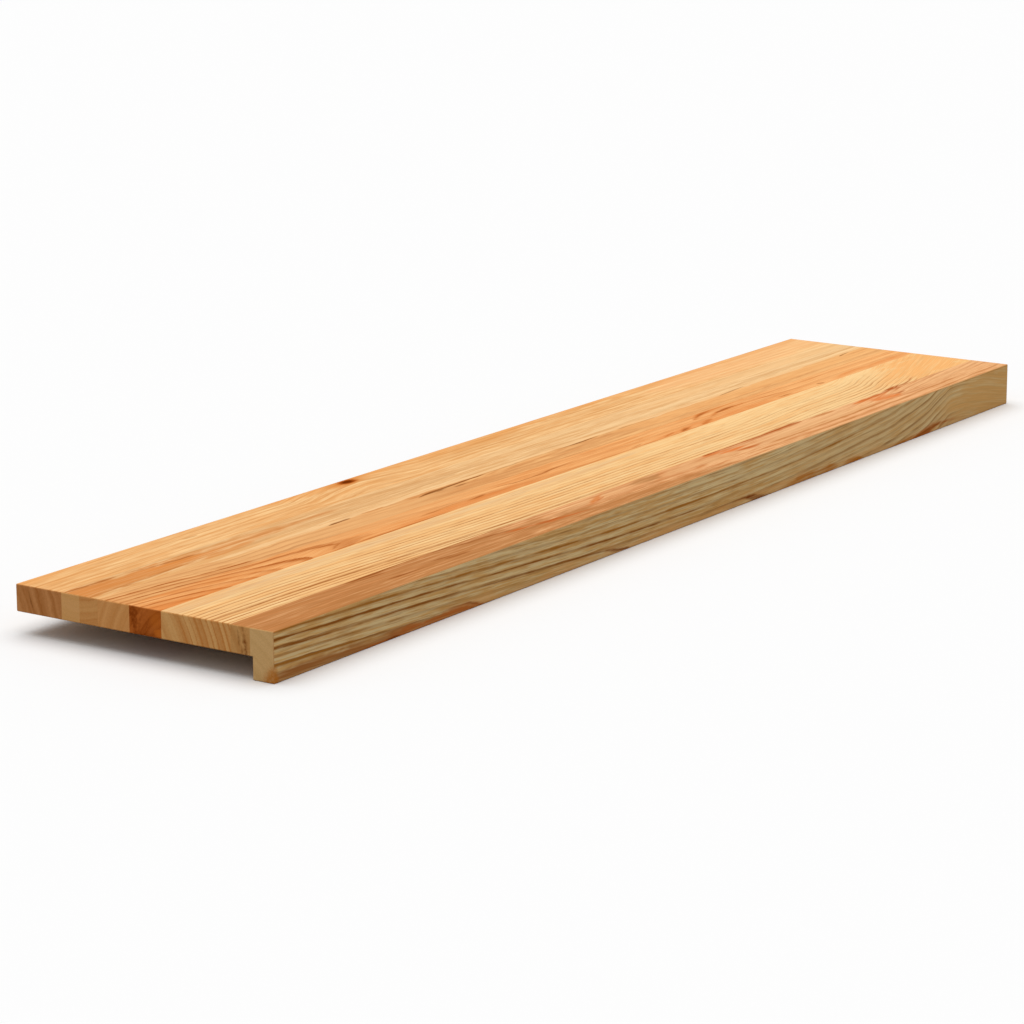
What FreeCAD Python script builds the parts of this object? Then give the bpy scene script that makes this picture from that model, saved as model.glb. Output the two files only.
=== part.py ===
import FreeCAD
import Part

import os

# Overlay stair tread: a panel of solid wood staves, glued edge to edge, with a nosing strip glued
# along its front. The nosing reaches below the panel as a lip, which hooks over the front edge of
# the step that the tread covers.
#
# Frame: X runs along the tread, Y from its front to its back, Z up. The origin is in the middle of
# the tread's outline, at the level of the lip's foot.

# Driving dimensions, in millimetres
LENGTH = 1200.0
DEPTH = 250.0
PANEL_THICKNESS = 22.0
LIP_THICKNESS = 20.0
LIP_DROP = 18.0  # how far the lip reaches below the panel
GLUE_SETBACK = 2.0  # from the back of the lip to the nosing's glue line
ARRIS_RADIUS = 1.0  # every outer edge is eased with sandpaper

# Staves from the nosing backwards. The back stave is ripped to what they leave of the depth.
STAVE_WIDTHS = {
    "stave_1_front": 18.0,
    "stave_2_wide": 66.0,
    "stave_3": 31.0,
    "stave_4": 31.0,
    "stave_5": 18.0,
    "stave_6": 18.0,
}
BACK_STAVE = "stave_7_back"
NOSING = "nosing_strip"

# Places that follow from the sizes
LEFT_X = -LENGTH / 2
FRONT_Y = -DEPTH / 2
BACK_Y = DEPTH / 2
LIP_BACK_Y = FRONT_Y + LIP_THICKNESS
GLUE_LINE_Y = LIP_BACK_Y + GLUE_SETBACK
FOOT_Z = 0.0
UNDERSIDE_Z = FOOT_Z + LIP_DROP
TOP_Z = UNDERSIDE_Z + PANEL_THICKNESS

PARTS_FOLDER = "parts"


def tread_section():
    """The tread's section, looking along its length: the panel with the lip under its front."""
    outline = [
        (FRONT_Y, FOOT_Z),
        (LIP_BACK_Y, FOOT_Z),
        (LIP_BACK_Y, UNDERSIDE_Z),
        (BACK_Y, UNDERSIDE_Z),
        (BACK_Y, TOP_Z),
        (FRONT_Y, TOP_Z),
    ]
    corners = [FreeCAD.Vector(LEFT_X, y, z) for y, z in outline]
    return Part.Face(Part.makePolygon(corners + corners[:1]))


def lies_in_inner_corner(edge):
    """True for the one hollow edge, where the lip meets the underside."""
    middle = edge.CenterOfMass
    corner = FreeCAD.Vector(middle.x, LIP_BACK_Y, UNDERSIDE_Z)
    return middle.isEqual(corner, Part.Precision.confusion())


def moulded_tread():
    """The whole tread as moulded: its outer edges are eased and its inner corner is sharp."""
    blank = tread_section().extrude(FreeCAD.Vector(LENGTH, 0, 0))
    outer_edges = [edge for edge in blank.Edges if not lies_in_inner_corner(edge)]
    return blank.makeFillet(ARRIS_RADIUS, outer_edges)


def strip_of(tread, front_y, back_y):
    """The part of the tread between two glue lines, or between a glue line and an outer face."""
    corner = FreeCAD.Vector(LEFT_X, front_y, FOOT_Z)
    blank = Part.makeBox(LENGTH, back_y - front_y, TOP_Z - FOOT_Z, corner)
    return tread.common(blank).Solids[0]


def glued_pieces():
    """Each piece of wood under its name: the nosing strip, then the staves from front to back."""
    tread = moulded_tread()
    pieces = {NOSING: strip_of(tread, FRONT_Y, GLUE_LINE_Y)}
    glue_line_y = GLUE_LINE_Y
    for name, width in STAVE_WIDTHS.items():
        pieces[name] = strip_of(tread, glue_line_y, glue_line_y + width)
        glue_line_y += width
    pieces[BACK_STAVE] = strip_of(tread, glue_line_y, BACK_Y)
    return pieces


os.makedirs(PARTS_FOLDER, exist_ok=True)
for piece_name, solid in glued_pieces().items():
    solid.exportStep(os.path.join(PARTS_FOLDER, piece_name + ".step"))
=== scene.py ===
import math

import bmesh
import bpy
from mathutils import Matrix, Vector


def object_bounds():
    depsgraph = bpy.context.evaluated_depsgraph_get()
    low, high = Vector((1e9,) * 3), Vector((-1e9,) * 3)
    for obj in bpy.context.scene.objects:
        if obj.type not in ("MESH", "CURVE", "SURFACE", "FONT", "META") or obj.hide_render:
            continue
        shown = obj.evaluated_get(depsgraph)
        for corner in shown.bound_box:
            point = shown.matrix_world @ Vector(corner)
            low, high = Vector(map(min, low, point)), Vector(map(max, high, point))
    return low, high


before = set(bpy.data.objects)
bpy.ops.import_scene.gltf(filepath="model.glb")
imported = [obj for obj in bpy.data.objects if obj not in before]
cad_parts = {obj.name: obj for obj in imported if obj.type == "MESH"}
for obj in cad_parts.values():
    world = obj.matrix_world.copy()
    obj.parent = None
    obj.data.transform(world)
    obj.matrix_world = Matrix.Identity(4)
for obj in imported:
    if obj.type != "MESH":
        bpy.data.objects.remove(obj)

cad_low, cad_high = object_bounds()

# The view
# The tread lies with its left end and its nosing towards the camera, which looks slightly down
# along the length with a long lens, so that the walking face, the front and one end show.
VIEW_TURN = math.radians(55.93)  # from straight at the nosing towards the right end
VIEW_DOWN = math.radians(13.62)
VIEW_ROLL = math.radians(-0.14)
VIEW_DISTANCE = 3.127
VIEW_LENS = 123.95  # millimetres
VIEW_SENSOR = 36.0  # millimetres
VIEW_AIM = Vector((-0.038, 0.0447, -0.0063))

look = Matrix.Rotation(-VIEW_TURN, 4, "Z") @ Matrix.Rotation(math.pi / 2 - VIEW_DOWN, 4, "X")
look = look @ Matrix.Rotation(VIEW_ROLL, 4, "Z")
camera = bpy.data.objects.new("view_camera", bpy.data.cameras.new("view_camera"))
camera.data.sensor_width = VIEW_SENSOR
camera.data.lens = VIEW_LENS
backwards = look.to_3x3() @ Vector((0.0, 0.0, 1.0))
camera.matrix_world = Matrix.Translation(VIEW_AIM + backwards * VIEW_DISTANCE) @ look
bpy.context.scene.collection.objects.link(camera)
bpy.context.scene.camera = camera


# Nosing strip
# The front strip of the tread, sawn from one larch board, planed on all sides and glued along the
# panel's front edge. Its lower half reaches below the panel as a lip.
MM = 1000.0


def tone(red, green, blue):
    """A colour in levels from 0 to 255, as the linear colour that a shader takes."""
    def linear(level):
        share = level / 255.0
        return share / 12.92 if share <= 0.04045 else ((share + 0.055) / 1.055) ** 2.4
    return linear(red), linear(green), linear(blue), 1.0


def add(tree, kind, inputs=(), **settings):
    """A new node. Its inputs go by name or number, and are values or other nodes' outputs."""
    node = tree.nodes.new(kind)
    for setting, value in settings.items():
        setattr(node, setting, value)
    for socket, value in dict(inputs).items():
        if isinstance(value, bpy.types.NodeSocket):
            tree.links.new(value, node.inputs[socket])
        else:
            node.inputs[socket].default_value = value
    return node


def calc(tree, operation, *values):
    """What a Math node makes of some values or outputs."""
    return add(tree, "ShaderNodeMath", enumerate(values), operation=operation).outputs[0]


def vector(tree, operation, *values):
    """What a Vector Math node makes of some values or outputs."""
    return add(tree, "ShaderNodeVectorMath", enumerate(values), operation=operation).outputs[0]


def fade(tree, value, start, end):
    """Rises smoothly from 0 at start to 1 at end."""
    inputs = {"Value": value, "From Min": start, "From Max": end}
    return add(tree, "ShaderNodeMapRange", inputs, interpolation_type="SMOOTHSTEP").outputs[0]


def blend(tree, share, first, second):
    """The first colour, mixed towards the second by a share from 0 to 1."""
    inputs = {0: share, 6: first, 7: second}
    return add(tree, "ShaderNodeMix", inputs, data_type="RGBA").outputs[2]


def curve(tree, place, points):
    """A value that changes smoothly with a place in millimetres, through points of (place, value)."""
    start, end = points[0][0], points[-1][0]
    low = min(value for _, value in points)
    high = max(value for _, value in points)
    if high == low:
        return low
    inputs = {"Value": place, "From Min": start, "From Max": end}
    share = add(tree, "ShaderNodeMapRange", inputs).outputs[0]
    node = add(tree, "ShaderNodeFloatCurve", {"Value": share})
    line = node.mapping.curves[0]
    for _ in points[2:]:
        line.points.new(0.5, 0.5)
    for point, (mark, value) in zip(line.points, points):
        point.location = ((mark - start) / (end - start), (value - low) / (high - low))
        point.handle_type = "AUTO_CLAMPED"
    node.mapping.update()
    return calc(tree, "MULTIPLY_ADD", node.outputs[0], high - low, low)


def streaks(tree, place, long, across, detail=2.0):
    """Noise drawn out along the grain: its patches are about that long and that far across, in mm."""
    stretched = vector(tree, "MULTIPLY", place, (1 / long, 1 / across, 1 / across))
    return add(tree, "ShaderNodeTexNoise", {"Vector": stretched, "Scale": 1.0, "Detail": detail,
                                            "Roughness": 0.6})


class Board:
    """The wood of one glued piece: planed larch, as a pattern that is solid all through. Places are in
    millimetres from the tread's left end, its back edge and its walking face, so the grain runs on over
    the edges and from piece to piece."""

    # Shares of a normal: where a face starts and counts in full, and on a flat face and an eased edge
    FACE_TURN = (0.4, 0.8)
    ARRIS_TURN = (0.99, 0.85)

    # Streaks of noise: how long they are, how far across, and how much detail they have
    FRAY_SIZE = (24.0, 1.3)
    BREAK_SIZE = (70.0, 2.6, 3.0)
    FIBRE_SIZE = (60.0, 0.9, 3.0)
    STRAY_SIZE = (26.0, 4.0, 4.0)
    SWELL_SIZE = (38.0, 7.0, 3.0)
    FLECK_SIZE = (34.0, 1.0, 1.0)
    MOTTLE_SIZE = (60.0, 2.6, 3.0)
    FINE_SIZE = (28, 1.7, 2)

    # The rings: their long and short wavering, by length, width and share, and places within a ring
    WAVERING = ((170.0, 22.0, 1.0), (45.0, 7.0, 0.4))
    LEAST_SLOPE = 0.6  # keeps the grain's shift short where the rings lie nearly flat in a face
    FRAYING = 0.3  # how far fibres fray a ring's line, as a share of the ring
    SOFT_RISE = (0.1, 0.8)  # where the earlywood starts to darken and stops
    SOFT_SHARE = 0.3  # the earlywood's share of a ring's darkness
    LATE_FULL = 0.85  # where the latewood is darkest
    LATE_STOP = 0.93  # where it starts to break off, before the next year's earlywood
    FAINTEST_YEAR = 0.45
    YEAR_SPREAD = 0.65
    BREAKS = (0.3, 0.62)  # levels of noise at which fibres break up a line, and leave it whole

    # What is drawn on the wood: how far its edge strays, how uneven its width is (times the noise,
    # plus), and the share of a streak or a spot that is left where fibres break it up
    STRAYING = (13.0, 2.0, 2.0)
    SWELLING = (2.4, -0.2)
    STREAK_LEFT = 0.4
    SPOT_LEFT = 0.6
    SOFT_OUTSIDE = -0.2  # the share of a streak's soft edge that lies outside its width

    # Colour: patches of the warmer one, by length, width, detail and share, and a level along the board
    PATCHES = ((260, 14, 2, 0.3), (110, 3.2, 4, 0.4))
    # Less of the warm colour towards the right end makes that end paler: painted light, as if the far
    # end were lit more brightly
    WARMTH_AND_PAINTED_LIGHT_ALONG = [(0, 0.52), (600, 0.5), (800, 0.47), (1200, 0.44)]
    WARM_FROM = (0.4, 0.6)
    FLECK_START = 0.77
    FLECK_FULL = 0.74
    FLECK_AMOUNT = 0.4

    # Sawn ends: the share of the broad bands, of the mottling and of the latewood lines
    BAND_FROM = (0.35, 0.65)
    BAND_SHARE = 0.45
    MOTTLE_SHARE = 0.5
    END_RING_SHARE = 0.55

    # Finish: the fibres' light and roughness and the wear of the arrises (times the noise, plus), and
    # how far the rings stand up, compared with the fibres
    FIBRE_LIGHT = (0.44, 0.78)
    FIBRE_ROUGHNESS = (0.16, 0.6)
    ARRIS_WEAR = (0.4, 0.1)
    RING_RELIEF = 0.5

    def __init__(self, name, pith, ring_width, run, wander=((0, 0), (1200, 0)), walk_run=1.0, wave=2.0,
                 first=0.0, uneven=0.4, late=0.5, knot=None):
        """The annual rings lie round the pith, at (from back, below top). run shifts them outwards and
        wander moves the pith forwards, both by place along the board. walk_run is the share of run on
        the walking face, wave how far the rings waver, first the share of a ring that they start at,
        uneven how far their widths differ, and late the share of a ring's width where its latewood
        starts. knot is the place of a knot that the rings bend round, its reach and how far it pushes
        them."""
        self.material = bpy.data.materials.new(name)
        self.material.use_nodes = True
        self.tree = tree = self.material.node_tree
        source = add(tree, "ShaderNodeTexCoord").outputs
        self.place = add(tree, "ShaderNodeMapping", {
            "Vector": source["Object"],
            "Location": (-cad_low.x * MM, cad_high.y * MM, cad_high.z * MM),
            "Scale": (MM, -MM, -MM)}).outputs[0]
        self.along, self.from_back, self.below = add(
            tree, "ShaderNodeSeparateXYZ", {0: self.place}).outputs
        facing = add(tree, "ShaderNodeSeparateXYZ", {0: source["Normal"]}).outputs
        turned = vector(tree, "ABSOLUTE", source["Normal"])
        level = add(tree, "ShaderNodeSeparateXYZ", {0: turned}).outputs
        flattest = calc(tree, "MAXIMUM", calc(tree, "MAXIMUM", level[0], level[1]), level[2])
        self.on_arris = fade(tree, flattest, *self.ARRIS_TURN)
        starts, full = self.FACE_TURN
        self.on_walk = fade(tree, facing[2], starts, full)
        self.on_front = fade(tree, facing[1], -starts, -full)
        self.on_left = fade(tree, facing[0], -starts, -full)
        self.on_end = fade(tree, calc(tree, "ABSOLUTE", facing[0]), starts, full)

        # The grain: the place, moved back to where it would lie if the rings ran straight. It moves only
        # within each face, so that the streaks there stay long.
        pith_back = calc(tree, "ADD", curve(tree, self.along, wander), pith[0])
        pith_line = add(tree, "ShaderNodeCombineXYZ", {1: pith_back, 2: pith[1]}).outputs[0]
        from_pith = vector(tree, "SUBTRACT", self.place, pith_line)
        spoke = vector(tree, "MULTIPLY", from_pith, (0.0, 1.0, 1.0))
        radius = add(tree, "ShaderNodeVectorMath", {0: spoke}, operation="LENGTH").outputs[1]
        shift = curve(tree, self.along, run)
        if walk_run < 1.0:
            kept = calc(tree, "MULTIPLY_ADD", self.on_walk, walk_run - 1.0, 1.0)
            shift = calc(tree, "MULTIPLY", shift, kept)
        if knot:
            centre, reach, push = knot
            shift = calc(tree, "MULTIPLY_ADD", self.ball(centre, reach), push, shift)
        for long, across, share in self.WAVERING:
            sway = calc(tree, "SUBTRACT", streaks(tree, self.place, long, across).outputs[0], 0.5)
            shift = calc(tree, "MULTIPLY_ADD", sway, wave * share, shift)
        outwards = vector(tree, "NORMALIZE", spoke)
        squared = vector(tree, "MULTIPLY", outwards, outwards)
        slope = vector(tree, "MAXIMUM", squared, (self.LEAST_SLOPE,) * 3)
        within_face = vector(tree, "SUBTRACT", (1.0, 1.0, 1.0), turned)
        lean = vector(tree, "MULTIPLY", vector(tree, "DIVIDE", outwards, slope), within_face)
        self.grain = vector(tree, "MULTIPLY_ADD", lean, shift, self.place)

        # The rings: pale earlywood that darkens outwards to a sharp line of latewood, broken by fibres
        even_count = calc(tree, "MULTIPLY_ADD", calc(tree, "ADD", radius, shift), 1 / ring_width, first)
        spacing = add(tree, "ShaderNodeTexNoise", {"W": even_count, "Scale": 0.7, "Detail": 0.0},
                      noise_dimensions="1D").outputs[0]
        count = calc(tree, "MULTIPLY_ADD", calc(tree, "SUBTRACT", spacing, 0.5), uneven, even_count)
        frayed = streaks(tree, self.grain, *self.FRAY_SIZE).outputs[0]
        count = calc(tree, "MULTIPLY_ADD", calc(tree, "SUBTRACT", frayed, 0.5), self.FRAYING, count)
        self.count = count
        within = calc(tree, "FRACT", count)
        soft_line = calc(tree, "MULTIPLY", fade(tree, within, *self.SOFT_RISE), self.SOFT_SHARE)
        sharp_line = fade(tree, within, late, self.LATE_FULL)
        latewood = calc(tree, "MULTIPLY_ADD", sharp_line, 1.0 - self.SOFT_SHARE, soft_line)
        latewood = calc(tree, "MULTIPLY", latewood, fade(tree, within, 1.0, self.LATE_STOP))
        year = add(tree, "ShaderNodeTexWhiteNoise", {"W": calc(tree, "FLOOR", count)},
                   noise_dimensions="1D").outputs[0]
        year_strength = calc(tree, "MULTIPLY_ADD", year, self.YEAR_SPREAD, self.FAINTEST_YEAR)
        self.latewood = calc(tree, "MULTIPLY", latewood, year_strength)
        breaks = streaks(tree, self.grain, *self.BREAK_SIZE).outputs[0]
        self.broken = fade(tree, breaks, *self.BREAKS)
        self.fibres = streaks(tree, self.grain, *self.FIBRE_SIZE).outputs[0]

        # Places with a ragged edge, for what is drawn on the wood
        stray = streaks(tree, self.place, *self.STRAY_SIZE).outputs[1]
        jitter = vector(tree, "SUBTRACT", stray, (0.5, 0.5, 0.5))
        self.ragged = vector(tree, "MULTIPLY_ADD", jitter, self.STRAYING, self.place)
        self.ragged_axes = add(tree, "ShaderNodeSeparateXYZ", {0: self.ragged}).outputs
        uneven_width = streaks(tree, self.place, *self.SWELL_SIZE).outputs[0]
        self.swell = calc(tree, "MULTIPLY_ADD", uneven_width, *self.SWELLING)

    def ball(self, centre, half_size, ragged=False):
        """Rises from 0 on the skin of an egg shape to 1 in its middle."""
        tree = self.tree
        inside = add(tree, "ShaderNodeMapping", {
            "Vector": self.ragged if ragged else self.place,
            "Location": centre,
            "Scale": half_size}, vector_type="TEXTURE").outputs[0]
        return add(tree, "ShaderNodeTexGradient", {0: inside}, gradient_type="SPHERICAL").outputs[1]

    def unbroken(self, amount, least=STREAK_LEFT):
        """An amount, of which only the least share is left where fibres break up what is drawn."""
        return calc(self.tree, "MULTIPLY_ADD", self.broken, (1.0 - least) * amount, least * amount)

    def colours(self, walk, end, figure, edge=None, walk_figure=1.0, across=None, end_figure=1.0,
                fine=0.3):
        """walk and edge are the (pale, warm, latewood) colours of the walking face and of the other long
        faces, and end the (pale, dark) colours of the sawn ends. figure is how strongly the rings show,
        by place along the board, and across fades them in from one distance from the back to another.
        walk_figure and end_figure are the rings' shares on the walking face and on the ends, and fine
        is the share of the finest streaks and flecks."""
        tree = self.tree
        pale, warm, dark = walk
        if edge:
            pale, warm, dark = [blend(tree, self.on_walk, *pair) for pair in zip(edge, walk)]
        # The level along the board makes the right end paler: painted light. The patches are the wood's
        # own tone.
        warmth_and_painted_light = curve(tree, self.along, self.WARMTH_AND_PAINTED_LIGHT_ALONG)
        for long, wide, detail, share in (*self.PATCHES, (*self.FINE_SIZE, fine)):
            patches = streaks(tree, self.grain, long, wide, detail).outputs[0]
            warmth_and_painted_light = calc(tree, "MULTIPLY_ADD", calc(tree, "SUBTRACT", patches, 0.5), share, warmth_and_painted_light)
        colour = blend(tree, fade(tree, warmth_and_painted_light, *self.WARM_FROM), pale, warm)
        strength = calc(tree, "MULTIPLY", curve(tree, self.along, figure), self.unbroken(1.0))
        if walk_figure != 1.0:
            kept = calc(tree, "MULTIPLY_ADD", self.on_walk, walk_figure - 1.0, 1.0)
            strength = calc(tree, "MULTIPLY", strength, kept)
        shown = self.latewood
        if across:
            shown = calc(tree, "MULTIPLY", shown, fade(tree, self.from_back, *across))
        self.ring = calc(tree, "MULTIPLY", shown, strength)
        colour = blend(tree, self.ring, colour, dark)
        fleck = streaks(tree, self.grain, *self.FLECK_SIZE).outputs[0]
        flecks = fade(tree, fleck, self.FLECK_START - fine / 2, self.FLECK_FULL)
        flecks = calc(tree, "MULTIPLY", flecks, self.FLECK_AMOUNT)
        self.colour = blend(tree, flecks, colour, dark)

        # Sawn ends: broad uneven bands of rings, with the latewood lines faint in them
        band = add(tree, "ShaderNodeTexNoise", {"W": self.count, "Scale": 0.55, "Detail": 2.0},
                   noise_dimensions="1D").outputs[0]
        mottled = streaks(tree, self.grain, *self.MOTTLE_SIZE).outputs[0]
        end_ring = calc(tree, "MULTIPLY", mottled, self.MOTTLE_SHARE)
        bands = fade(tree, band, *self.BAND_FROM)
        end_ring = calc(tree, "MULTIPLY_ADD", bands, self.BAND_SHARE, end_ring)
        end_ring = calc(tree, "MULTIPLY_ADD", shown, self.END_RING_SHARE * end_figure, end_ring)
        self.end_colour = blend(tree, end_ring, *end)

    def paint(self, colour, points, face="walk", amount=1.0, soft=1.0, ragged=True):
        """Draws a streak on one face, through points of (lengthways, sideways, half its width there).
        On the left end, lengthways is downwards. The streak closes where its width is 0, and its edge
        may be ragged. soft is how far its edge fades, in millimetres."""
        tree = self.tree
        axes = self.ragged_axes if ragged else (self.along, self.from_back, self.below)
        along, from_back, below = axes
        length, side, mask = {
            "walk": (along, from_back, self.on_walk),
            "front": (along, below, self.on_front),
            "left": (below, from_back, self.on_left)}[face]
        middle = curve(tree, length, [point[:2] for point in points])
        half = curve(tree, length, [point[::2] for point in points])
        aside = calc(tree, "ABSOLUTE", calc(tree, "SUBTRACT", side, middle))
        inwards = calc(tree, "MULTIPLY_ADD", half, self.swell, calc(tree, "MULTIPLY", aside, -1.0))
        inside = fade(tree, inwards, self.SOFT_OUTSIDE * soft, soft)
        share = calc(tree, "MULTIPLY", inside, self.unbroken(amount))
        share = calc(tree, "MULTIPLY", share, mask)
        if face == "left":
            self.end_colour = blend(tree, share, self.end_colour, colour)
        else:
            self.colour = blend(tree, share, self.colour, colour)

    def spot(self, colour, centre, half_size, amount=1.0, edge=0.5):
        """An egg-shaped spot in the wood, on every face that it reaches. edge is the share of its half
        size over which it fades in."""
        tree = self.tree
        ball = self.ball(centre, half_size, ragged=True)
        streaked = self.unbroken(amount, least=self.SPOT_LEFT)
        share = calc(tree, "MULTIPLY", fade(tree, ball, 0.0, edge), streaked)
        self.colour = blend(tree, share, self.colour, colour)
        self.end_colour = blend(tree, share, self.end_colour, colour)

    def dress(self, node):
        """Finishes the wood, sanded and matt, and gives it to a piece."""
        tree = self.tree
        shader = tree.nodes["Principled BSDF"]
        colour = blend(tree, self.on_end, self.colour, self.end_colour)
        wear = calc(tree, "MULTIPLY_ADD", self.broken, *self.ARRIS_WEAR)
        colour = blend(tree, calc(tree, "MULTIPLY", self.on_arris, wear), colour, ARRIS_BROWN)
        light = calc(tree, "MULTIPLY_ADD", self.fibres, *self.FIBRE_LIGHT)
        lit = add(tree, "ShaderNodeVectorMath", {0: colour, "Scale": light}, operation="SCALE")
        tree.links.new(lit.outputs[0], shader.inputs["Base Color"])
        matt = calc(tree, "MULTIPLY_ADD", self.fibres, *self.FIBRE_ROUGHNESS)
        tree.links.new(matt, shader.inputs["Roughness"])
        relief = calc(tree, "MULTIPLY_ADD", self.ring, self.RING_RELIEF, self.fibres)
        bump = add(tree, "ShaderNodeBump", {"Strength": 0.15, "Distance": 0.0004, "Height": relief})
        tree.links.new(bump.outputs[0], shader.inputs["Normal"])
        shader.inputs["Specular IOR Level"].default_value = 0.0
        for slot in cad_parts[node].material_slots:
            slot.material = self.material


ARRIS_BROWN = tone(206, 140, 82)
PALE_HONEY = tone(238, 182, 126)
PALE_STRIPE = tone(252, 190, 136)
BROWN_HEART = tone(187, 124, 71)
STREAK_BROWN = tone(160, 92, 42)
STREAK_EMBER = tone(186, 96, 42)
STREAK_RED = tone(203, 108, 50)
STREAK_GLOW = tone(229, 132, 70)
STREAK_ORANGE = tone(220, 132, 70)
STREAK_TAN = tone(204, 134, 78)
STREAK_BLOTCH = tone(190, 134, 82)
FOOT_BROWN = tone(190, 122, 64)
FOOT_RED = tone(214, 122, 57)
FOOT_DARK = tone(156, 82, 30)
FOOT_CHESTNUT = tone(180, 98, 36)
FOOT_ORANGE = tone(212, 130, 50)
# Painted light: a pale tone that lifts the shade along the foot of the front face
FOOT_PAINTED_LIGHT = tone(254, 186, 112)
RING_BROWN = tone(168, 100, 36)
RING_TAN = tone(190, 122, 48)
RIGHT_TAN = tone(241, 186, 114)
FAN_TAN = tone(240, 194, 130)

# The brown and red streaks of the tread's front edge, which run over the joint behind the nosing:
# their colour, how much of it, how soft their edge is, and their shape
EDGE_STREAKS = [
    (PALE_HONEY, 0.5, 10.0, [(410, 216, 0), (470, 219, 9), (530, 221, 8), (580, 223, 0)]),
    (PALE_HONEY, 0.9, 10.0, [(575, 222, 0), (620, 221, 10), (690, 226, 9), (730, 231, 0)]),
    (PALE_HONEY, 0.9, 10.0, [(735, 224, 0), (790, 227, 10), (870, 228, 11), (970, 228, 0)]),
    (PALE_HONEY, 0.35, 10.0, [(1030, 220, 0), (1080, 222, 9), (1140, 224, 8), (1200, 224, 4)]),
    (BROWN_HEART, 0.5, 9.0, [(490, 235, 0), (560, 238, 6), (620, 243, 6), (690, 247, 0)]),
    (STREAK_BROWN, 1.2, 2.0, [(135, 211, 0), (155, 212, 2.4), (190, 211.5, 1.8), (225, 211, 0)]),
    (STREAK_BROWN, 1.1, 2.0, [(148, 215, 0), (168, 216, 1.8), (190, 217, 0)]),
    (STREAK_BROWN, 1.1, 2.0, [(164, 231, 0), (184, 232, 1.8), (200, 233, 1.8), (222, 233, 0)]),
    (STREAK_BROWN, 1.1, 2.2, [(226, 226.5, 0), (246, 227.5, 2), (266, 229, 0)]),
    (STREAK_BROWN, 1.1, 2.2, [(240, 231.5, 0), (258, 232.5, 2), (282, 234, 0)]),
    (STREAK_BROWN, 1.1, 2.2, [(244, 211, 0), (266, 212, 1.8), (290, 213.5, 0)]),
    (STREAK_BROWN, 1.0, 2.6, [(268, 214, 0), (295, 215.5, 2.4), (322, 217.5, 2.2), (345, 221, 1.8),
                              (375, 224.5, 0)]),
    (STREAK_RED, 1.1, 3.6, [(322, 221, 0), (345, 223.5, 2), (364, 226, 3.6), (380, 227.8, 3),
                            (396, 230.3, 4.2), (412, 232, 3), (436, 235, 1.8), (475, 238, 0)]),
    (STREAK_EMBER, 0.9, 2.6, [(372, 228, 0), (394, 230.3, 2.2), (424, 233, 0)]),
    (STREAK_ORANGE, 1.0, 3.4, [(452, 228.5, 0), (466, 226, 2.8), (479, 221.5, 3.6), (490, 217, 2.8),
                               (508, 212.5, 0)]),
    (STREAK_RED, 1.0, 2.4, [(458, 229, 0), (470, 227.5, 1.8), (482, 224, 1.8), (496, 219.5, 0)]),
    (STREAK_TAN, 1.0, 2.0, [(484, 226, 0), (502, 225, 1.8), (522, 224, 0)]),
    (STREAK_BLOTCH, 0.95, 6.0, [(534, 215, 0), (556, 217, 8), (573, 217, 9), (592, 214, 0)]),
    (STREAK_GLOW, 1.1, 3.8, [(662, 213, 0), (690, 214, 3.8), (724, 215.5, 0)]),
    (STREAK_GLOW, 1.1, 3.8, [(682, 218.5, 0), (706, 219.5, 4), (738, 221, 0)]),
    (STREAK_RED, 1.1, 3.4, [(702, 225, 0), (722, 226.5, 3.6), (752, 228.5, 0)]),
    (STREAK_EMBER, 1.4, 2.6, [(670, 211, 0), (686, 211, 2.5), (740, 211, 1.8), (772, 211.5, 2.4),
                              (815, 211, 3.2), (838, 211, 2.6), (852, 211, 0)]),
    (STREAK_TAN, 1.1, 2.4, [(856, 212, 0), (885, 212.5, 2.4), (915, 213, 0)]),
    (STREAK_GLOW, 0.5, 8.0, [(945, 217, 0), (970, 220, 7), (992, 224, 9), (1016, 227, 0)]),
    (STREAK_GLOW, 1.1, 4.0, [(938, 214, 0), (966, 215, 4), (1000, 214.5, 3), (1018, 214, 0)]),
    (STREAK_GLOW, 0.9, 4.0, [(956, 219, 0), (982, 220, 4.2), (1010, 221.5, 0)]),
    (STREAK_GLOW, 0.9, 4.0, [(962, 224.5, 0), (988, 226, 4.4), (1016, 227.5, 0)]),
    (STREAK_GLOW, 0.9, 4.0, [(944, 231.5, 0), (970, 230.8, 2.6), (1000, 229.5, 2.8), (1018, 228.5, 0)]),
    (STREAK_RED, 0.9, 3.0, [(950, 213.5, 0), (972, 214, 2.2), (996, 213.5, 2.4), (1014, 213, 0)]),
    (STREAK_EMBER, 1.4, 3.0, [(994, 213.5, 0), (1014, 211.8, 2.6), (1030, 210.8, 3.4),
                              (1046, 210.2, 2.6), (1068, 209.5, 0)]),
    (STREAK_EMBER, 0.8, 2.6, [(1000, 223, 0), (1016, 224.5, 2.4), (1034, 225.5, 0)]),
    (PALE_STRIPE, 0.8, 3.0, [(790, 238, 0), (860, 239, 2.8), (950, 238, 2.8), (1060, 234, 0)]),
    (PALE_STRIPE, 0.8, 3.0, [(780, 247, 0), (870, 248, 2.8), (980, 246, 2.8), (1080, 242.5, 0)]),
    (STREAK_TAN, 1.3, 2.4, [(715, 231, 0), (780, 234, 2), (870, 234.5, 2.2), (940, 233.5, 2),
                            (1005, 229, 0)]),
    (STREAK_TAN, 1.2, 2.4, [(680, 239, 0), (780, 242, 2), (860, 243.5, 2.2), (960, 241.5, 2),
                            (1060, 238, 2), (1135, 236, 0)]),
    (STREAK_TAN, 1.0, 2.4, [(1010, 248, 0), (1080, 246, 2.2), (1140, 243, 2.2), (1200, 241, 1.8)]),
]
HEART_SHAPE = [(0, 230, 44), (240, 230, 42), (350, 232, 28), (450, 239, 18), (600, 246, 12),
               (710, 250, 0)]


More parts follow.
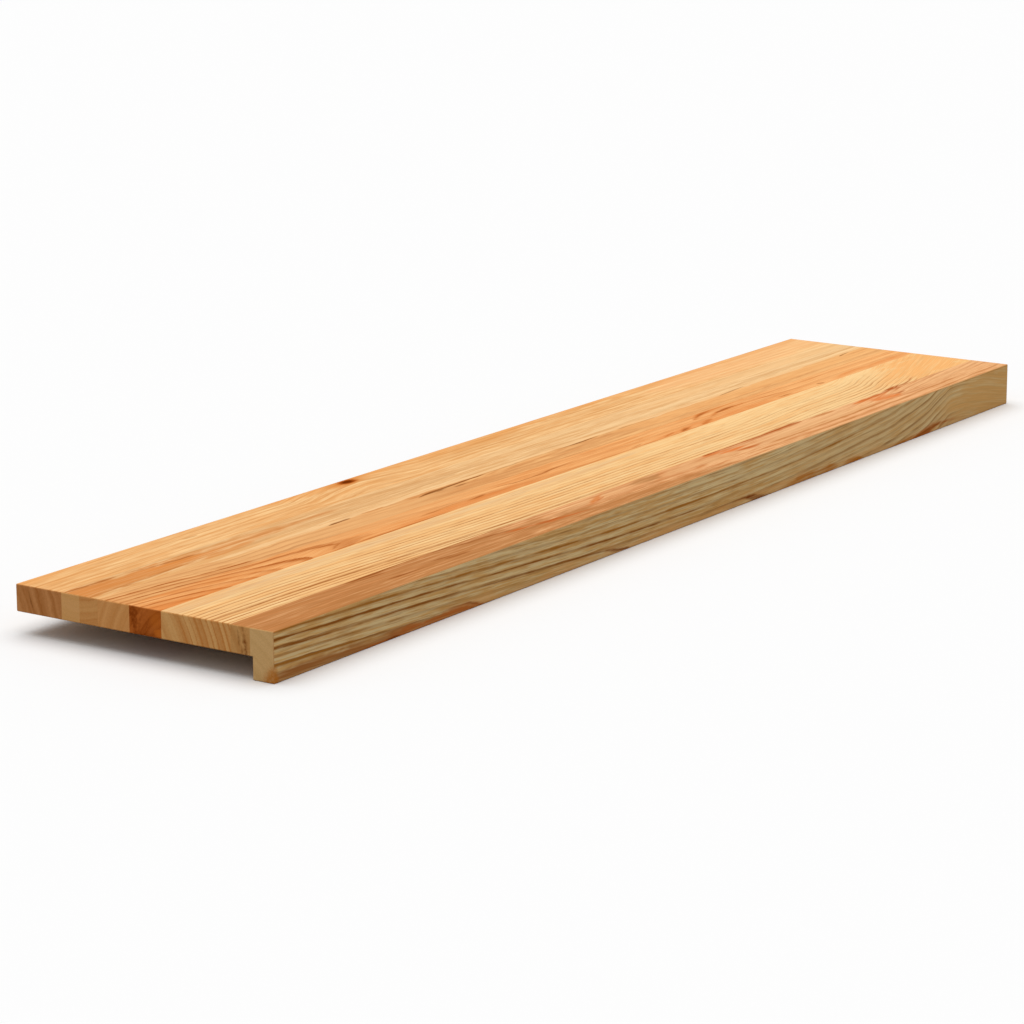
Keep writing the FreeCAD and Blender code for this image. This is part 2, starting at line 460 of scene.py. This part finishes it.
def paint_front_edge(board):
    """The brown heartwood and the streaks that the nosing shares with the stave behind it."""
    board.paint(BROWN_HEART, HEART_SHAPE, amount=0.95, soft=16.0)
    for colour, amount, soft, points in EDGE_STREAKS:
        board.paint(colour, points, amount=amount, soft=soft)


nosing = Board(
    "nosing_larch",
    pith=(190.0, 80.0),
    ring_width=4.6,
    run=[(0, 0), (100, 3.2), (200, 6.3), (300, 9.7), (400, 13.2), (500, 14.5), (620, 15.2), (700, 14.5),
         (800, 11.9), (900, 7.8), (954, 4.9), (979, 2.1), (1000, -0.3), (1026, -4.2), (1046, -9.0),
         (1064, -13), (1085, -16), (1120, -14), (1200, -4)],
    walk_run=0.1,
    first=0.17,
    wave=0.9,
    uneven=0.0,
)
nosing.colours(
    walk=(tone(247, 190, 134), tone(216, 143, 87), tone(186, 106, 54)),
    edge=(tone(255, 223, 163), tone(239, 185, 112), tone(154, 86, 22)),
    end=(tone(247, 200, 136), tone(232, 184, 119)),
    figure=[(0, 0.9), (200, 0.75), (400, 0.6), (700, 0.55), (850, 0.8), (1030, 0.95), (1065, 0.8),
            (1095, 0.5), (1140, 0.15), (1200, 0.1)],
    walk_figure=0.5,
    end_figure=0.3,
    fine=0.5,
)
paint_front_edge(nosing)
# A paler band along the foot of the front face: painted light that lifts the shade near the floor
nosing.paint(FOOT_PAINTED_LIGHT, [(0, 40, 8), (600, 40, 9), (1050, 40, 8), (1200, 40, 6)],
             face="front", amount=0.65, soft=8.0)
nosing.paint(FAN_TAN, [(700, 20, 0), (840, 20, 26), (1000, 20, 32), (1200, 20, 36)],
             face="front", amount=0.4, soft=18.0)
nosing.paint(RIGHT_TAN, [(1035, 20, 0), (1115, 20, 26), (1200, 20, 40)],
             face="front", amount=1.1, soft=20.0)
for ring_colour, ring_amount, ring_points in [
    (RING_TAN, 1.4, [(0, 0.3, 1.5), (100, 3.9, 1.5), (200, 7.8, 1.3), (300, 12.2, 1.3),
                     (400, 16.8, 1.4), (500, 19.6, 1.5), (620, 20.2, 1.5), (740, 19.2, 1.3),
                     (820, 16.4, 1.2), (900, 12, 1.0), (960, 7, 0.9), (1005, 1, 0.6)]),
    (RING_BROWN, 1.8, [(0, 6.6, 1.3), (100, 10.4, 1.3), (200, 14, 1.1), (300, 18.9, 1.1),
                       (400, 23.3, 1.2), (500, 26.9, 1.2), (650, 28.5, 0)]),
    (RING_BROWN, 1.6, [(0, 13, 1.3), (60, 16.3, 1.4), (100, 17.5, 1.2), (200, 21.3, 1.1),
                       (300, 26.6, 1.1), (400, 31, 1.3), (450, 34.5, 1.1), (480, 38.5, 0)]),
    (RING_TAN, 1.2, [(0, 19.4, 0.9), (100, 23.1, 0.8), (200, 27.2, 0.7), (260, 29.5, 0)]),
    (RING_TAN, 1.5, [(0, 25.8, 1.5), (50, 28, 1.4), (100, 30.2, 1.3), (150, 32.6, 0)]),
    (FOOT_DARK, 0.9, [(30, 33.6, 0), (100, 33.7, 0.7), (200, 33.5, 0.8), (240, 33.8, 1.0),
                      (256, 36, 1.5), (266, 39, 1.5), (272, 40, 0)]),
]:
    nosing.paint(ring_colour, ring_points, face="front", amount=ring_amount, soft=1.8, ragged=False)
for streak_colour, streak_soft, streak_points in [
    (FOOT_BROWN, 3.0, [(0, 37.5, 6), (80, 37.5, 6), (130, 37.8, 5), (160, 38, 4.6), (200, 38.5, 0)]),
    (FOOT_RED, 3.4, [(90, 40, 0), (140, 39, 3), (180, 38.2, 4.6), (230, 38.2, 4.6), (256, 39, 3.8),
                     (278, 40, 0)]),
    (FOOT_RED, 3.0, [(150, 38, 0), (180, 37.4, 2.4), (208, 36.6, 3.4), (234, 37, 0)]),
    (FOOT_DARK, 2.0, [(136, 40, 0), (148, 39, 2.0), (160, 39.5, 0)]),
    (FOOT_DARK, 2.0, [(443, 33.5, 0), (459, 35.6, 2.0), (475, 37.6, 2.4), (495, 40, 0)]),
    (FOOT_DARK, 2.0, [(600, 33.5, 0), (640, 33.8, 0.8), (680, 34.4, 1.7), (692, 36.5, 2.8),
                      (712, 39, 2.4), (730, 40, 0)]),
    (FOOT_ORANGE, 4.0, [(725, 40, 0), (770, 38, 4.2), (800, 36.5, 6), (825, 36, 6), (856, 37.5, 0)]),
    (FOOT_ORANGE, 2.6, [(855, 39.5, 0), (878, 38, 3.4), (902, 39.5, 0)]),
    (FOOT_ORANGE, 3.0, [(935, 40, 0), (985, 38.8, 3.2), (1012, 38.2, 3.6), (1036, 39.5, 0)]),
    (FOOT_RED, 3.4, [(988, 39.5, 0), (1008, 38, 3.2), (1024, 36.2, 4.4), (1038, 35, 3.6),
                     (1056, 34.4, 2.8), (1074, 34.6, 2), (1096, 34.8, 0)]),
    (FOOT_CHESTNUT, 2.6, [(1000, 38.8, 0), (1016, 37.6, 2.2), (1030, 35.8, 2.4), (1044, 34.6, 2.2),
                          (1058, 34.2, 1.8), (1074, 34.6, 0)]),
]:
    nosing.paint(streak_colour, streak_points, face="front", soft=streak_soft)
nosing.spot(FOOT_ORANGE, centre=(0, 252, 42), half_size=(7, 15, 19))
nosing.dress("nosing_strip")


# Front stave
# The narrow larch stave behind the nosing, brown heartwood at its left end and orange further along,
# with red resin streaks. It is glued to the nosing in front and to the wide stave behind.
END_BLOTCH = tone(152, 88, 34)

front_stave = Board(
    "front_stave_larch",
    pith=(120.0, 62.0),
    ring_width=5.5,
    run=[(0, 0), (400, -13), (600, -16), (900, -10), (1050, 8), (1200, 20)],
)
front_stave.colours(
    walk=(tone(250, 195, 139), tone(220, 148, 92), tone(186, 106, 54)),
    end=(tone(241, 184, 115), tone(206, 140, 74)),
    figure=[(0, 0.5), (1200, 0.6)],
    end_figure=0.3,
)
paint_front_edge(front_stave)
for streak_points in [
    [(2, 216, 0), (6, 217, 1.4), (12, 217.6, 1.4), (17, 218, 0)],
    [(4, 222, 0), (9, 223, 1.9), (15, 223.8, 2.4), (22, 224.5, 2.0)],
    [(0, 221, 1.2), (3, 221.6, 1.1), (6, 222, 0)],
    [(13, 219.5, 0), (18, 220.5, 1.2), (22, 221, 1.0)],
]:
    front_stave.paint(END_BLOTCH, streak_points, face="left", amount=1.05, soft=3.0, ragged=False)
front_stave.dress("stave_1_front")


# Wide stave
# A wide larch stave, pale sapwood at the back with fine straight rings in front of it, glued between
# the front stave and the orange pair. The rings sag towards its middle and fan out at the right end.
STRONG_RING = tone(172, 102, 46)
RIGHT_ORANGE = tone(251, 186, 117)
LEFT_GREY = tone(215, 174, 134)

wide_stave = Board(
    "wide_stave_larch",
    pith=(54.0, 62.0),
    ring_width=4.9,
    run=[(0, 0), (103, -1), (205, -4.5), (308, -9), (400, -12), (600, -13), (800, -11), (900, -5.5),
         (1000, -2.7), (1050, 6.4), (1090, 15.5), (1150, 32), (1200, 45)],
    wave=1.2,
    late=0.6,
)
wide_stave.colours(
    walk=(tone(255, 214, 153), tone(248, 191, 125), tone(174, 98, 42)),
    end=(tone(255, 199, 127), tone(221, 145, 74)),
    figure=[(0, 1.15), (250, 1.05), (450, 0.9), (700, 0.72), (900, 0.6), (1000, 0.85), (1060, 0.95),
            (1100, 0.6), (1145, 0.1), (1200, 0.0)],
    end_figure=1.5,
    across=(148.0, 180.0),
)
wide_stave.paint(RIGHT_ORANGE, [(1000, 200, 0), (1080, 188, 24), (1130, 180, 44), (1200, 178, 52)],
                 amount=1.1, soft=28.0)
wide_stave.paint(LEFT_GREY, [(0, 153, 11), (150, 153, 10), (560, 153, 8), (700, 153, 0)],
                 amount=0.45, soft=9.0)
wide_stave.paint(STREAK_EMBER, [(740, 211, 0), (775, 210.5, 2), (815, 209.5, 2.8), (838, 209, 2.2),
                                (854, 209, 0)],
                 soft=2.8)
wide_stave.paint(STREAK_EMBER, [(1002, 212.5, 0), (1020, 210.3, 3), (1040, 208.8, 2.8),
                                (1060, 208, 1.8), (1080, 203, 1.4), (1098, 197, 0)],
                 amount=1.2, soft=2.8)
wide_stave.paint(STRONG_RING, [(0, 193, 1.3), (103, 194, 1.3), (205, 198, 1.3), (308, 203, 1.2),
                               (400, 206, 1.1), (600, 208, 0)])
wide_stave.dress("stave_2_wide")


# Orange pair
# Two larch staves glued side by side, with flame-shaped grain and orange heartwood that reddens
# towards the front joint. They were sawn from one board, so the flame runs on from one to the other.
FLAME = dict(
    pith=(165.0, 40.0),
    ring_width=5.5,
    run=[(0, 0), (50, 8), (100, 18), (160, 30.2), (185, 33.6), (215, 37.1), (235, 38.7), (290, 40.6),
         (400, 43), (1200, 45)],
    wander=[(0, 0), (100, -10), (150, -18), (200, -27), (240, -32), (400, -25), (700, -13),
            (1200, -13)],
    first=0.455,
)
FLAME_FIGURE = [(0, 1.1), (190, 1.1), (250, 0.7), (320, 0.35), (1200, 0.35)]
FLAME_RED = tone(230, 132, 62)
FLAME_BROWN = tone(190, 110, 52)
EYE_BROWN = tone(176, 98, 44)
EYE_ORANGE = tone(212, 122, 58)
TAN_SMOOTH = tone(236, 172, 110)
END_DARK = tone(140, 58, 8)
END_GLOW = tone(226, 122, 40)
HONEY = tone(240, 184, 123)
TAN_DARK = tone(214, 148, 90)
TAN_BRIGHT = tone(246, 180, 113)
PALE_EDGE = tone(248, 201, 144)
JOINT_DASH = tone(150, 88, 38)

stave_3 = Board("orange_stave_larch", **FLAME)
stave_3.colours(
    walk=(tone(254, 190, 124), tone(236, 156, 89), tone(186, 98, 38)),
    end=(tone(222, 124, 54), tone(174, 84, 24)),
    figure=FLAME_FIGURE,
    end_figure=0.45,
)
stave_3.paint(TAN_SMOOTH, [(170, 113, 0), (215, 114, 6), (260, 117, 12), (400, 117, 9), (540, 113, 0)],
              amount=0.6, soft=5.0)
stave_3.paint(
    FLAME_RED,
    [(0, 140, 9), (80, 142, 6), (150, 143, 3), (280, 143, 3), (330, 140, 7), (420, 139, 7),
     (520, 142, 4), (600, 144, 1), (690, 143, 3), (760, 140, 7), (850, 140, 7), (950, 142, 5),
     (1000, 144, 2), (1080, 138, 6), (1150, 138, 6), (1200, 138, 5)],
    amount=0.65, soft=7.0)
stave_3.spot(FLAME_RED, centre=(850, 130, 0), half_size=(100, 20, 24), amount=0.2, edge=0.9)
for streak_colour, streak_points in [
    (FLAME_BROWN, [(100, 113.5, 0), (140, 117.5, 1.3), (180, 119.5, 1.5), (205, 122.5, 1.9),
                   (225, 126.5, 2.2), (240, 132, 0)]),
    (FLAME_BROWN, [(216, 140, 0), (230, 135, 2), (241, 130.5, 0)]),
    (FLAME_BROWN, [(345, 133.5, 0), (365, 132.5, 2), (400, 131, 0)]),
    (FLAME_BROWN, [(412, 134.5, 0), (430, 133.5, 1.8), (452, 131.5, 0)]),
    (FLAME_BROWN, [(462, 123.5, 0), (485, 127, 1.7), (510, 130, 2.2), (535, 129.5, 2), (560, 127, 1.6),
                   (610, 126, 0)]),
    (FLAME_BROWN, [(185, 142.5, 0), (250, 142.5, 1.2), (290, 142.8, 1.7), (410, 142.5, 0)]),
    (FLAME_BROWN, [(660, 141, 0), (675, 139.5, 1.6), (690, 137.5, 0)]),
    (FLAME_BROWN, [(924, 137.5, 0), (942, 139.5, 2), (962, 140, 0)]),
    (EYE_BROWN, [(1004, 138, 0), (1013, 140, 1.9), (1022, 141.5, 0)]),
]:
    stave_3.paint(streak_colour, streak_points, amount=1.2, soft=2.2)
for streak_colour, streak_soft, streak_points in [
    (EYE_ORANGE, 5.0, [(796, 126, 0), (812, 120.5, 4.2), (828, 116.4, 3.6), (846, 114.8, 2.8),
                       (890, 115.4, 2), (940, 118, 1.5), (985, 121.5, 0)]),
    (EYE_ORANGE, 3.6, [(816, 132, 0), (834, 127, 3), (850, 124.6, 3.4), (870, 124.2, 3),
                       (910, 125.5, 2.2), (960, 130, 1.6), (1000, 135, 0)]),
    (EYE_ORANGE, 3.6, [(716, 143, 0), (730, 139.5, 3), (748, 136, 0)]),
    (EYE_ORANGE, 3.6, [(744, 143.5, 0), (758, 140, 4), (776, 136.5, 0)]),
    (EYE_ORANGE, 3.6, [(784, 142.5, 0), (800, 138.5, 3.8), (818, 134.5, 0)]),
    (FLAME_BROWN, 3.0, [(806, 122.5, 0), (816, 119.4, 2), (830, 116, 1.4), (846, 114.8, 0)]),
    (EYE_BROWN, 2.4, [(834, 127, 0), (846, 124.8, 2), (858, 124, 2), (876, 124.4, 0)]),
    (EYE_BROWN, 2.4, [(750, 142, 0), (758, 140, 2.4), (768, 138, 0)]),
]:
    stave_3.paint(streak_colour, streak_points, amount=1.2, soft=streak_soft)
stave_3.spot(END_GLOW, centre=(0, 139, 8), half_size=(40, 10, 11), amount=0.55, edge=0.8)
stave_3.spot(END_GLOW, centre=(0, 141, 18), half_size=(40, 5, 4), amount=0.8)
stave_3.spot(END_DARK, centre=(0, 128, 24), half_size=(40, 22, 7), amount=0.6, edge=0.7)
for streak_points in [
    [(0, 117, 3.5), (8, 117.5, 4.5), (16, 118, 3.5), (22, 119, 2.5)],
    [(1, 127, 0), (6, 125, 1.4), (13, 123, 1.6), (21, 122, 1.2)],
    [(3, 136, 0), (9, 132, 1.1), (16, 129, 1.3), (22, 127, 0.8)],
]:
    stave_3.paint(END_DARK, streak_points, face="left", amount=0.75, soft=3.0)
stave_3.dress("stave_3")

stave_4 = Board("tan_stave_larch", **FLAME)
stave_4.colours(
    walk=(tone(250, 192, 127), tone(224, 154, 93), tone(178, 98, 42)),
    end=(tone(252, 184, 114), tone(230, 156, 86)),
    figure=FLAME_FIGURE,
    end_figure=0.35,
)
stave_4.paint(HONEY, [(0, 84, 6), (60, 86, 8), (130, 92, 14), (200, 99, 20), (260, 103, 22),
                      (380, 100, 14), (480, 94, 0)],
              amount=0.65, soft=5.0)
stave_4.paint(TAN_DARK, [(370, 104, 0), (450, 104, 10), (560, 102, 11), (700, 99, 10), (790, 98, 0)],
              amount=0.6, soft=8.0)
stave_4.paint(TAN_BRIGHT, [(700, 92, 0), (790, 92, 13), (1000, 92, 14), (1200, 92, 13)],
              amount=0.6, soft=5.0)
stave_4.paint(PALE_EDGE, [(120, 84, 0), (250, 84, 4.5), (400, 83.5, 4), (1000, 83.5, 4),
                          (1200, 83.5, 3)],
              amount=1.2, soft=1.6)
for streak_points in [
    [(278, 89.5, 0), (290, 88.5, 1.7), (305, 88, 1.7), (314, 87.5, 0)],
    [(398, 94, 0), (415, 91.2, 2.4), (436, 90, 2.8), (462, 89.2, 2.4), (490, 88.6, 1.8), (516, 88, 0)],
    [(628, 88, 0), (655, 89, 1.6), (680, 88, 1.4), (697, 87.5, 0)],
    [(722, 87.5, 0), (740, 87.5, 1.5), (760, 87, 0)],
    [(903, 88.5, 0), (925, 87, 1.5), (945, 85.5, 1.4), (962, 84.5, 0)],
    [(1140, 89.5, 0), (1155, 87.5, 2), (1172, 86, 0)],
    [(448, 95, 0), (462, 95.5, 1.6), (477, 95, 0)],
]:
    stave_4.paint(JOINT_DASH, streak_points, amount=1.1, soft=1.8)
stave_4.paint(JOINT_DASH, [(395, 88.5, 0.2), (500, 88, 0.7), (620, 88.5, 0.6), (760, 88, 0.6),
                           (800, 87.5, 0)],
              amount=0.7)
stave_4.dress("stave_4")


# Narrow pair
# Two narrow larch staves, glued edge to edge between the orange pair and the back stave. They are
# pale honey like the back stave, with a brown flame of heartwood that runs in from the left end.
HEART_PALE = tone(236, 176, 112)
HEART_ORANGE = tone(218, 140, 74)
HEART_VEIL = tone(224, 146, 80)
HEART_TAN = tone(214, 146, 82)
HEART_GLOW = tone(226, 144, 74)
HEART_RIM = tone(182, 110, 54)
HEART_LINE = tone(200, 130, 70)
HEART_TIP = tone(208, 132, 70)
HONEY_SHADE = tone(222, 162, 98)
HEART_PATCH = tone(220, 142, 74)
BRIGHT_HONEY = tone(253, 201, 139)

# The flame's parts and the shading behind it: colour, amount, how soft the edge is, and shape
HEART_FLAME = [
    (HEART_PALE, 0.9, 5.0, [(0, 79, 5.5), (150, 79, 5), (300, 79, 0)]),
    (HEART_ORANGE, 1.1, 7.0, [(0, 62, 17), (60, 62, 15.5), (100, 63, 13), (140, 62, 9), (205, 61, 0)]),
    (HEART_VEIL, 0.6, 8.0, [(80, 62, 10), (150, 62, 12), (210, 60, 10), (270, 60, 6), (350, 60, 0)]),
    (HEART_TAN, 0.8, 4.0, [(115, 50, 0), (150, 51, 3.6), (195, 52, 3.6), (235, 54, 2.6), (285, 57, 0)]),
    (HEART_GLOW, 0.8, 5.0, [(80, 61, 0), (105, 62, 7), (130, 61, 6), (165, 58, 0)]),
    (HEART_RIM, 1.1, 1.4, [(0, 50, 1.5), (40, 50.5, 1.8), (75, 50.5, 0.8), (86, 53, 1.6),
                           (120, 57, 1.8), (165, 59, 0)]),
    (HEART_LINE, 0.9, 1.0, [(0, 74.5, 1.6), (60, 74, 1.6), (100, 72, 1.4), (155, 68, 0)]),
    (HEART_TIP, 0.8, 3.0, [(168, 61, 0), (200, 61, 2.8), (260, 60.5, 3.3), (310, 60, 2.8),
                           (338, 60, 0)]),
    (HONEY_SHADE, 0.3, 7.0, [(500, 55, 0), (600, 55, 14), (730, 55, 14), (810, 55, 0)]),
    (HEART_PATCH, 0.8, 4.0, [(136, 73, 0), (160, 72.5, 5), (184, 71, 5), (218, 67, 0)]),
]
NARROW = dict(pith=(62.0, -40.0), ring_width=5.0, run=[(0, 0), (600, 5), (1200, 8)], wave=4.0)
NARROW_WALK = (tone(254, 212, 156), tone(230, 174, 114), tone(204, 146, 88))

stave_5 = Board("narrow_front_larch", **NARROW)
stave_5.colours(
    walk=NARROW_WALK,
    end=(tone(248, 186, 115), tone(222, 146, 78)),
    figure=[(0, 0.5), (1200, 0.5)],
    end_figure=0.5,
)
stave_6 = Board("narrow_back_larch", **NARROW)
stave_6.colours(
    walk=NARROW_WALK,
    end=(tone(248, 187, 121), tone(240, 178, 106)),
    figure=[(0, 0.5), (1200, 0.5)],
    end_figure=0.4,
)
for stave in (stave_5, stave_6):
    for flame_colour, flame_amount, flame_soft, flame_points in HEART_FLAME:
        stave.paint(flame_colour, flame_points, amount=flame_amount, soft=flame_soft)
stave_6.paint(BRIGHT_HONEY, [(770, 55, 0), (880, 55, 14), (1200, 55, 14)], amount=0.45, soft=7.0)
stave_5.dress("stave_5")
stave_6.dress("stave_6")


# Back stave
# The wide pale larch stave along the back edge, glued to the narrow pair. Its back butts against the
# next riser, and it has one small brown knot close to that edge.
KNOT = (416, 7, 0)
KNOT_REACH = (95.0, 42.0, 42.0)
KNOT_PUSH = 16.0
KNOT_HALO = tone(222, 138, 64)
KNOT_RIM = tone(196, 102, 36)
KNOT_BROWN = tone(164, 78, 20)
KNOT_CORE = tone(116, 48, 6)
BACK_ORANGE = tone(236, 156, 80)
BACK_TAN = tone(218, 148, 78)
BACK_BRIGHT = tone(253, 188, 128)
BACK_FLECK = tone(190, 128, 72)
END_LINE = tone(150, 88, 40)

back_stave = Board(
    "back_stave_larch",
    pith=(-60.0, 40.0),
    ring_width=6.5,
    run=[(0, 0), (600, 6), (1200, 3)],
    wave=5.0,
    knot=(KNOT, KNOT_REACH, KNOT_PUSH),
)
back_stave.colours(
    walk=(tone(255, 210, 150), tone(238, 175, 110), tone(214, 142, 78)),
    end=(tone(236, 166, 104), tone(190, 116, 56)),
    figure=[(0, 0.6), (1200, 0.5)],
    end_figure=0.4,
)
back_stave.paint(
    BACK_ORANGE,
    [(0, 3, 9), (90, 3, 7), (160, 3, 3), (300, 3, 5), (380, 4, 9), (450, 4, 7), (600, 4, 10),
     (800, 4, 10), (900, 4, 11), (990, 4, 10), (1100, 4, 9), (1200, 4, 9)],
    amount=0.6, soft=7.0)
back_stave.paint(BACK_TAN, [(500, 24, 0), (610, 24, 22), (770, 24, 22), (880, 24, 0)],
                 amount=0.3, soft=12.0)
back_stave.paint(BACK_BRIGHT, [(860, 23, 0), (980, 23, 24), (1200, 23, 26)], amount=0.6, soft=14.0)
back_stave.paint(END_LINE, [(2, 12.6, 0), (5, 13.2, 0.8), (12, 15, 1.0), (19, 18, 0.5)],
                 face="left", amount=0.9, soft=1.6)
for knot_colour, knot_size, knot_edge, knot_amount in [
    (KNOT_HALO, (44, 12, 26), 0.9, 0.9),
    (KNOT_RIM, (18, 8, 18), 0.5, 1.0),
    (KNOT_BROWN, (13, 5.8, 14), 0.4, 1.2),
    (KNOT_CORE, (8.5, 4.6, 10), 0.5, 1.3),
]:
    back_stave.spot(knot_colour, KNOT, knot_size, amount=knot_amount, edge=knot_edge)
back_stave.paint(BACK_FLECK, [(176, 18.5, 0), (188, 19, 1.3), (199, 19.5, 0)], amount=0.9)
back_stave.dress("stave_7_back")


# Floor
# A plain pale studio floor under the tread. The camera sees it white, and it throws back less light
# than that, so the tread's upright faces stay in their soft shade.
FLOOR_HALF = 20.0
FLOOR_WHITE = (0.99, 0.99, 0.99, 1.0)
FLOOR_GREY = (0.36, 0.36, 0.36, 1.0)

floor_mesh = bpy.data.meshes.new("studio_floor")
floor_form = bmesh.new()
bmesh.ops.create_grid(floor_form, x_segments=1, y_segments=1, size=FLOOR_HALF)
floor_form.to_mesh(floor_mesh)
floor_form.free()
floor = bpy.data.objects.new("studio_floor", floor_mesh)
bpy.context.scene.collection.objects.link(floor)


def seen_rays(tree):
    """1 for the rays that show the background: straight to the camera, mirrored or through glass."""
    rays = add(tree, "ShaderNodeLightPath").outputs
    mirrored = calc(tree, "MAXIMUM", rays["Is Camera Ray"], rays["Is Glossy Ray"])
    return calc(tree, "MAXIMUM", mirrored, rays["Is Transmission Ray"])


floor_paint = bpy.data.materials.new("studio_floor_paint")
floor_paint.use_nodes = True
floor_tree = floor_paint.node_tree
floor_shader = floor_tree.nodes["Principled BSDF"]
floor_shader.inputs["Roughness"].default_value = 1.0
floor_shader.inputs["Specular IOR Level"].default_value = 0.0
floor_shade = blend(floor_tree, seen_rays(floor_tree), FLOOR_GREY, FLOOR_WHITE)
floor_tree.links.new(floor_shade, floor_shader.inputs["Base Color"])
floor_mesh.materials.append(floor_paint)


# Studio light
# A wide soft lamp overhead and an even pale room round it, at a level where a colour on the walking
# face renders about as it is written.
LAMP_LEVEL = 1.9
LAMP_SPREAD = math.radians(70)
LAMP_TILT = (math.radians(-8), math.radians(6), 0.0)
ROOM_LEVEL = 0.4

lamp = bpy.data.objects.new("overhead_lamp", bpy.data.lights.new("overhead_lamp", "SUN"))
lamp.data.energy = LAMP_LEVEL
lamp.data.angle = LAMP_SPREAD
lamp.rotation_euler = LAMP_TILT
bpy.context.scene.collection.objects.link(lamp)

room = bpy.data.worlds.new("studio_room")
room.use_nodes = True
room_tree = room.node_tree
room_light = room_tree.nodes["Background"]
room_light.inputs["Color"].default_value = (1.0, 1.0, 1.0, 1.0)
room_level = calc(room_tree, "MULTIPLY_ADD", seen_rays(room_tree), 1.0 - ROOM_LEVEL, ROOM_LEVEL)
room_tree.links.new(room_level, room_light.inputs["Strength"])
bpy.context.scene.world = room
bpy.context.scene.view_settings.view_transform = "Standard"
